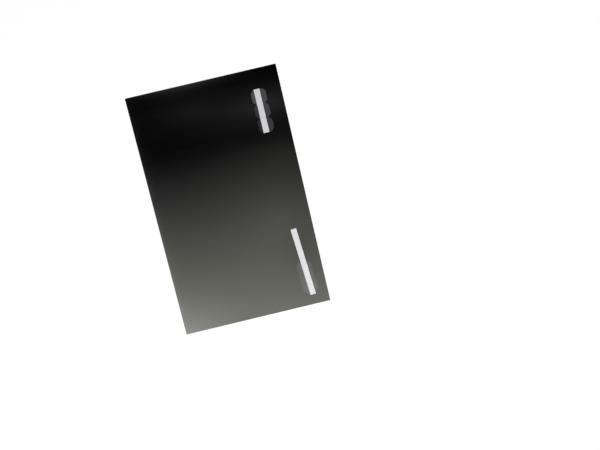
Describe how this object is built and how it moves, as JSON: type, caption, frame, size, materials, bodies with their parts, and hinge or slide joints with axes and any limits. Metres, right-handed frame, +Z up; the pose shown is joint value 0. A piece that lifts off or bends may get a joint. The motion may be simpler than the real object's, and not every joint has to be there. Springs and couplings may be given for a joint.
{
  "type": "monitor privacy filter",
  "caption": "Thin dark glossy privacy sheet for a 16:10 screen, with clear attachment tabs under pale release liners lying on its upper face.",
  "frame": {"origin": "centre of the sheet's lower face, on the surface that the filter lies on", "axes": "+X along the sheet's long side, +Y along its short side towards the edge with the tabs, +Z up out of the face that carries the tabs"},
  "size_m": [0.2864, 0.179, 0.0009],
  "materials": {
    "filter_sheet": "smoked louvre laminate with glossy faces, near black",
    "clear_film": "clear polyester film with a faint haze",
    "adhesive": "clear acrylic pressure-sensitive adhesive",
    "release_liner": "smooth siliconised paper, pale lavender white"
  },
  "bodies": {
    "root": {"filter_sheet": "filter_sheet", "short_tab_1": "clear_film", "short_tab_2": "clear_film", "short_tab_3": "clear_film", "short_tab_adhesive_1": "adhesive", "short_tab_adhesive_2": "adhesive", "short_tab_adhesive_3": "adhesive", "short_tab_liner": "release_liner", "long_tab": "clear_film", "long_tab_adhesive": "adhesive", "long_tab_liner": "release_liner"}
  },
  "joints": []
}
